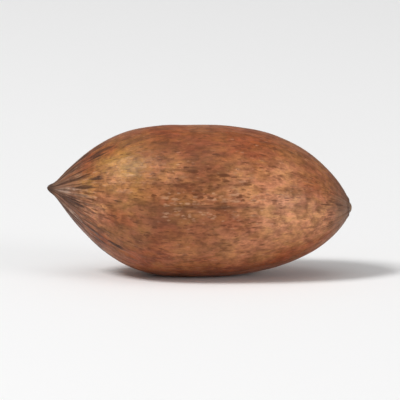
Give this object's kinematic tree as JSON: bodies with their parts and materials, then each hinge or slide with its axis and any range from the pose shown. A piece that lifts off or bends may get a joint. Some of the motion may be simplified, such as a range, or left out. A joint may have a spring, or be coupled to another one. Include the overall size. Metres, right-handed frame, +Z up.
{
  "type": "pecan in shell",
  "caption": "Whole pecan in its shell: a smooth brown egg-shaped nut with a pointed tip and a blunt stalk end, lying on its side on a small flat spot.",
  "frame": {"origin": "on the surface the nut rests on, at the middle of its outline seen from above", "axes": "the nut's length lies along X, with the pointed tip at -X and the stalk end at +X, and +Z is up"},
  "size_m": [0.044, 0.023, 0.0217],
  "materials": {
    "shell": "smooth warm brown nutshell with a soft gloss, mottled, with darker lengthwise streaks that gather at the two ends"
  },
  "bodies": {
    "root": {"pecan_nut": "shell"}
  },
  "joints": []
}
